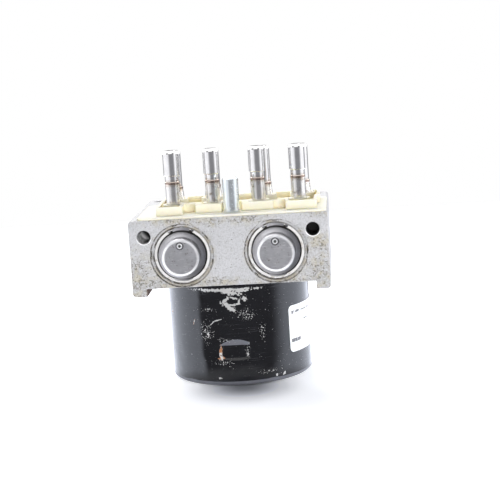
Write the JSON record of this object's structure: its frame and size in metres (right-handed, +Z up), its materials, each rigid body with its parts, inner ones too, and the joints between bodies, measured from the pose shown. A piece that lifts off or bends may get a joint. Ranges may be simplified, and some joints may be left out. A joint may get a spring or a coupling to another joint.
{
  "type": "anti-lock brake hydraulic modulator",
  "caption": "Hydraulic modulator of an anti-lock brake system: aluminium valve block with solenoid valve stems, spring accumulators, piston pump and a black motor below, no control unit.",
  "frame": {"origin": "centre of the motor's flat end, on the motor axis", "axes": "+Z up the motor axis towards the valves, -Y out of the face with the accumulators, +X to the right of that face"},
  "size_m": [0.102, 0.0901, 0.1239],
  "materials": {
    "cast_block": "machined, slightly soiled",
    "aluminium": "machined",
    "cap_steel": "pressed sheet, satin",
    "spring_steel": "oiled",
    "bright_steel": "ground",
    "stainless": "turned, bright",
    "zinc_steel": "zinc plated",
    "cream_plastic": "moulded, translucent",
    "dark_plastic": "moulded",
    "motor_paint": "gloss black",
    "label_paper": "matte",
    "seal_rubber": "matte",
    "ferrite": "pressed",
    "bush_bronze": "sintered",
    "laminations": "stamped sheet stack",
    "copper": "enamelled wire and bars",
    "carbon": "pressed"
  },
  "bodies": {
    "block": {"accumulator_cap_left": "cap_steel", "accumulator_cap_right": "cap_steel", "accumulator_spring_left": "spring_steel", "accumulator_spring_right": "spring_steel", "brush_holder": "dark_plastic", "brush_spring_left": "spring_steel", "brush_spring_right": "spring_steel", "front_bearing": "bright_steel", "inlet_valve_1": "stainless", "inlet_valve_2": "stainless", "inlet_valve_3": "stainless", "inlet_valve_4": "stainless", "locating_sleeve": "zinc_steel", "magnets": "ferrite", "motor_case": "motor_paint", "motor_connector": "dark_plastic", "motor_end_plate": "aluminium", "motor_label": "label_paper", "motor_screws": "zinc_steel", "motor_seal": "seal_rubber", "outlet_valve_1": "stainless", "outlet_valve_2": "stainless", "outlet_valve_3": "stainless", "outlet_valve_4": "stainless", "passage_balls": "bright_steel", "pump_guide_left": "bright_steel", "pump_guide_right": "bright_steel", "pump_plug_left": "zinc_steel", "pump_plug_right": "zinc_steel", "pump_spring_left": "spring_steel", "pump_spring_right": "spring_steel", "rear_bush": "bush_bronze", "retaining_ring_left": "spring_steel", "retaining_ring_right": "spring_steel", "valve_block": "cast_block", "valve_plate": "cream_plastic", "valve_springs": "spring_steel"},
    "rotor": {"rotor_shaft": "bright_steel", "rotor_core": "laminations", "rotor_winding": "copper", "commutator": "copper", "eccentric": "bright_steel"},
    "eccentric_ring": {"eccentric_bearing": "bright_steel"},
    "accumulator_plunger_left": {"accumulator_piston_left": "aluminium", "piston_seal_left": "seal_rubber"},
    "pump_plunger_left": {"pump_piston_left": "bright_steel"},
    "brush_block_left": {"brush_left": "carbon"},
    "accumulator_plunger_right": {"accumulator_piston_right": "aluminium", "piston_seal_right": "seal_rubber"},
    "pump_plunger_right": {"pump_piston_right": "bright_steel"},
    "brush_block_right": {"brush_right": "carbon"},
    "inlet_plunger_1": {"inlet_armature_1": "bright_steel"},
    "outlet_plunger_1": {"outlet_armature_1": "bright_steel"},
    "inlet_plunger_2": {"inlet_armature_2": "bright_steel"},
    "outlet_plunger_2": {"outlet_armature_2": "bright_steel"},
    "inlet_plunger_3": {"inlet_armature_3": "bright_steel"},
    "outlet_plunger_3": {"outlet_armature_3": "bright_steel"},
    "inlet_plunger_4": {"inlet_armature_4": "bright_steel"},
    "outlet_plunger_4": {"outlet_armature_4": "bright_steel"}
  },
  "joints": [
    {"name": "rotor_spin", "type": "hinge", "parent": "block", "child": "rotor", "pos_m": [0, 0, 0], "axis": [0, 0, 1], "continuous": true},
    {"name": "eccentric_ring_spin", "type": "hinge", "parent": "rotor", "child": "eccentric_ring", "pos_m": [0, 0.001, 0], "axis": [0, 0, 1], "continuous": true},
    {"name": "accumulator_stroke_left", "type": "slide", "parent": "block", "child": "accumulator_plunger_left", "axis": [0, -1, 0], "range_m": [0, 0.0035], "stiffness_N_per_m": 200, "springref_m": -0.005, "deforming": ["accumulator_spring_left"]},
    {"name": "pump_stroke_left", "type": "slide", "parent": "block", "child": "pump_plunger_left", "axis": [1, 0, 0], "range_m": [0, 0.001], "stiffness_N_per_m": 150, "springref_m": 0.004, "deforming": ["pump_spring_left"]},
    {"name": "brush_wear_left", "type": "slide", "parent": "block", "child": "brush_block_left", "axis": [-1, 0, 0], "range_m": [0, 0.003], "stiffness_N_per_m": 20, "springref_m": -0.006, "deforming": ["brush_spring_left"]},
    {"name": "accumulator_stroke_right", "type": "slide", "parent": "block", "child": "accumulator_plunger_right", "axis": [0, -1, 0], "range_m": [0, 0.0035], "stiffness_N_per_m": 200, "springref_m": -0.005, "deforming": ["accumulator_spring_right"]},
    {"name": "pump_stroke_right", "type": "slide", "parent": "block", "child": "pump_plunger_right", "axis": [-1, 0, 0], "range_m": [0, 0.001], "stiffness_N_per_m": 150, "springref_m": 0.004, "deforming": ["pump_spring_right"]},
    {"name": "brush_wear_right", "type": "slide", "parent": "block", "child": "brush_block_right", "axis": [1, 0, 0], "range_m": [0, 0.003], "stiffness_N_per_m": 20, "springref_m": -0.006, "deforming": ["brush_spring_right"]},
    {"name": "inlet_stroke_1", "type": "slide", "parent": "block", "child": "inlet_plunger_1", "axis": [0, 0, -1], "range_m": [0, 0.0005], "stiffness_N_per_m": 100, "springref_m": -0.004},
    {"name": "outlet_stroke_1", "type": "slide", "parent": "block", "child": "outlet_plunger_1", "axis": [0, 0, 1], "range_m": [0, 0.0005], "stiffness_N_per_m": 100, "springref_m": -0.004},
    {"name": "inlet_stroke_2", "type": "slide", "parent": "block", "child": "inlet_plunger_2", "axis": [0, 0, -1], "range_m": [0, 0.0005], "stiffness_N_per_m": 100, "springref_m": -0.004},
    {"name": "outlet_stroke_2", "type": "slide", "parent": "block", "child": "outlet_plunger_2", "axis": [0, 0, 1], "range_m": [0, 0.0005], "stiffness_N_per_m": 100, "springref_m": -0.004},
    {"name": "inlet_stroke_3", "type": "slide", "parent": "block", "child": "inlet_plunger_3", "axis": [0, 0, -1], "range_m": [0, 0.0005], "stiffness_N_per_m": 100, "springref_m": -0.004},
    {"name": "outlet_stroke_3", "type": "slide", "parent": "block", "child": "outlet_plunger_3", "axis": [0, 0, 1], "range_m": [0, 0.0005], "stiffness_N_per_m": 100, "springref_m": -0.004},
    {"name": "inlet_stroke_4", "type": "slide", "parent": "block", "child": "inlet_plunger_4", "axis": [0, 0, -1], "range_m": [0, 0.0005], "stiffness_N_per_m": 100, "springref_m": -0.004},
    {"name": "outlet_stroke_4", "type": "slide", "parent": "block", "child": "outlet_plunger_4", "axis": [0, 0, 1], "range_m": [0, 0.0005], "stiffness_N_per_m": 100, "springref_m": -0.004}
  ]
}
